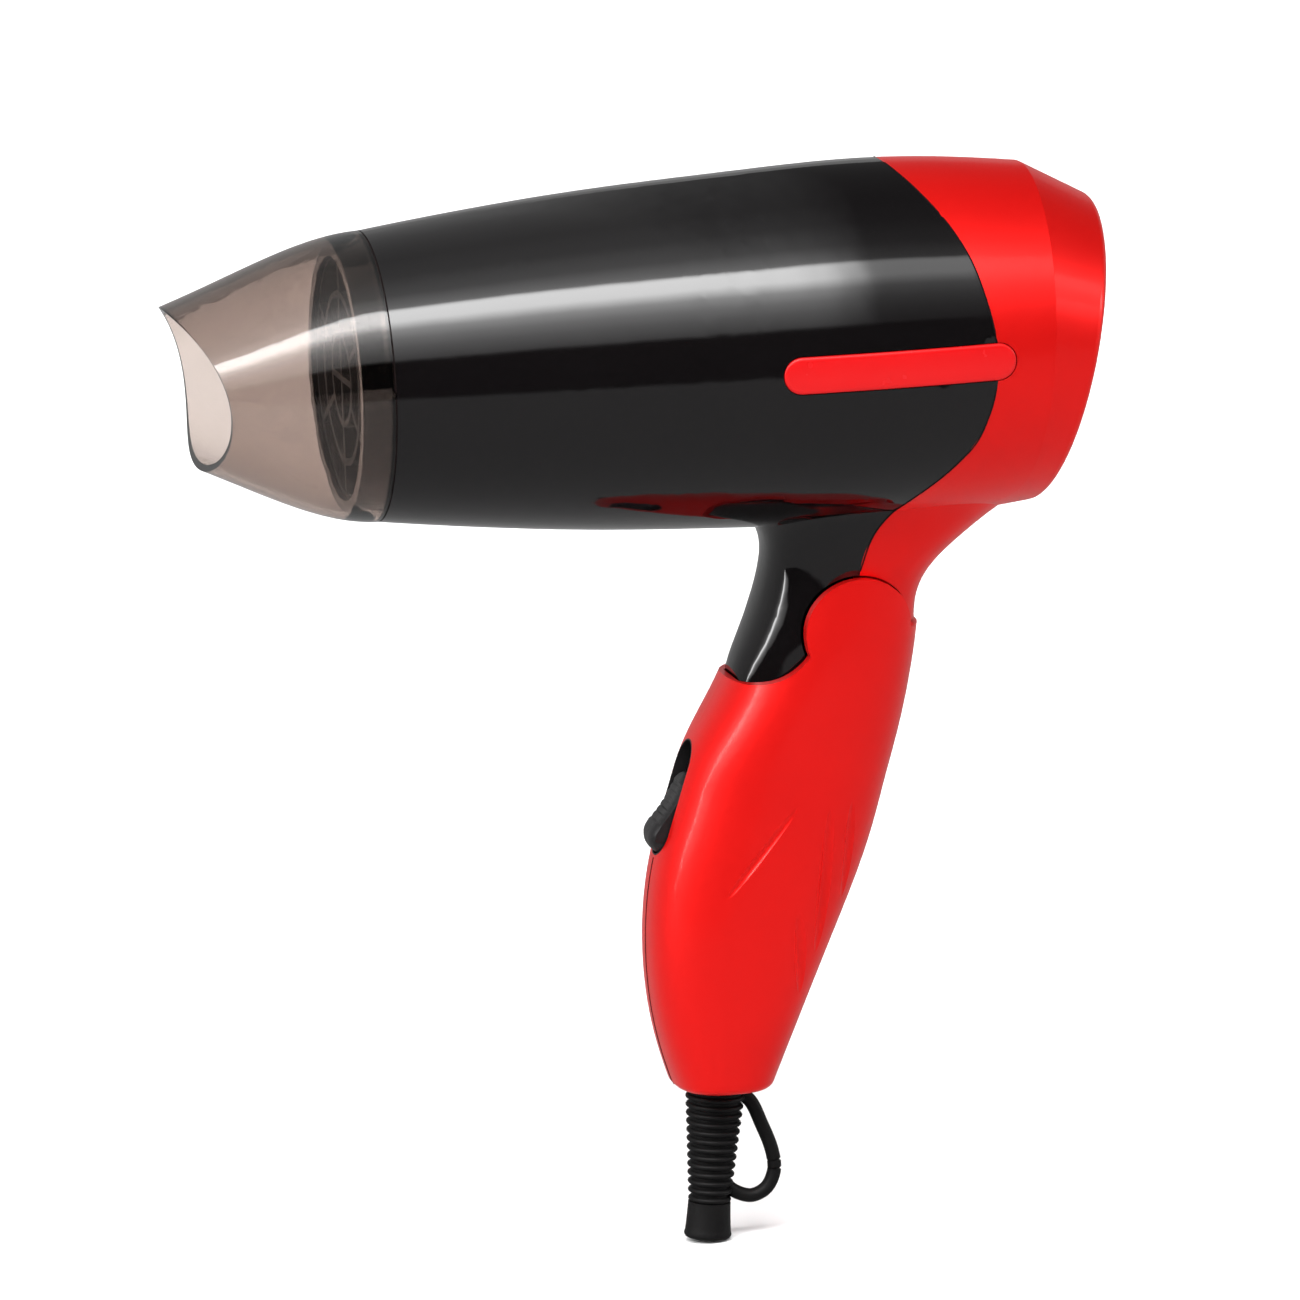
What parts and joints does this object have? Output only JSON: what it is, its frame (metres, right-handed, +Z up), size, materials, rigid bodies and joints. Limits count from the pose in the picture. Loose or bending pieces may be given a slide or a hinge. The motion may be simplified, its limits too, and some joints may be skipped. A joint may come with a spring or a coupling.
{
  "type": "hair dryer",
  "caption": "Folding travel hair dryer with a round tapered barrel, a turning smoked concentrator nozzle, a forward-folding grip with slide switch and a ribbed cord boot with hanging loop.",
  "frame": {"origin": "centre of the nozzle's seat on the barrel's axis", "axes": "+X along the barrel from the nozzle to the air intake, +Z up, the grip hangs towards -Z, Y across the dryer"},
  "size_m": [0.1893, 0.0738, 0.2177],
  "materials": {
    "black_shell": "gloss",
    "red_shell": "satin pearl",
    "red_strip": "gloss",
    "smoked_nozzle": "clear gloss",
    "black_plastic": "matte",
    "black_rubber": "matte",
    "steel": "brushed",
    "heater_wire": "dull",
    "mica": "matte",
    "grey_plastic": "matte",
    "circuit_board": "satin",
    "capacitor_case": "gloss",
    "contact_brass": "bright",
    "lead_sleeve": "matte",
    "filter_mesh": "woven"
  },
  "bodies": {
    "barrel": {"front_shell": "black_shell", "rear_shell": "red_shell", "side_strip_left": "red_strip", "side_strip_right": "red_strip", "body_screws": "steel", "outlet_grille": "black_plastic", "heater_tube": "mica", "heater_frame": "mica", "heater_coil": "heater_wire", "thermostat": "contact_brass", "thermal_fuse": "steel", "motor_mount": "black_plastic", "motor": "steel", "rectifier_board": "circuit_board", "intake_grille": "black_plastic", "lint_filter": "filter_mesh", "hinge_tube": "steel", "barrel_leads": "lead_sleeve"},
    "rotor": {"motor_shaft": "steel", "fan": "grey_plastic"},
    "nozzle": {"nozzle": "smoked_nozzle"},
    "handle": {"handle_left": "red_shell", "handle_right": "red_shell", "handle_screws": "steel", "hinge_washers": "steel", "detent_spring": "steel", "switch_body": "black_plastic", "capacitor": "capacitor_case", "cord_clamp": "grey_plastic", "clamp_screws": "steel", "strain_relief": "black_rubber", "handle_leads": "lead_sleeve"},
    "switch": {"switch_slider": "black_plastic", "switch_contact": "contact_brass"}
  },
  "joints": [
    {"name": "handle_fold", "type": "hinge", "parent": "barrel", "child": "handle", "pos_m": [0.095, 0, -0.0565], "axis": [0, 1, 0], "range_deg": [0, 62]},
    {"name": "nozzle_turn", "type": "hinge", "parent": "barrel", "child": "nozzle", "pos_m": [0, 0, 0], "axis": [-1, 0, 0], "continuous": true},
    {"name": "switch_slide", "type": "slide", "parent": "handle", "child": "switch", "axis": [0.3387, 0, 0.9409], "range_m": [0, 0.006]},
    {"name": "fan_spin", "type": "hinge", "parent": "barrel", "child": "rotor", "pos_m": [0.118, 0, 0], "axis": [1, 0, 0], "continuous": true}
  ]
}
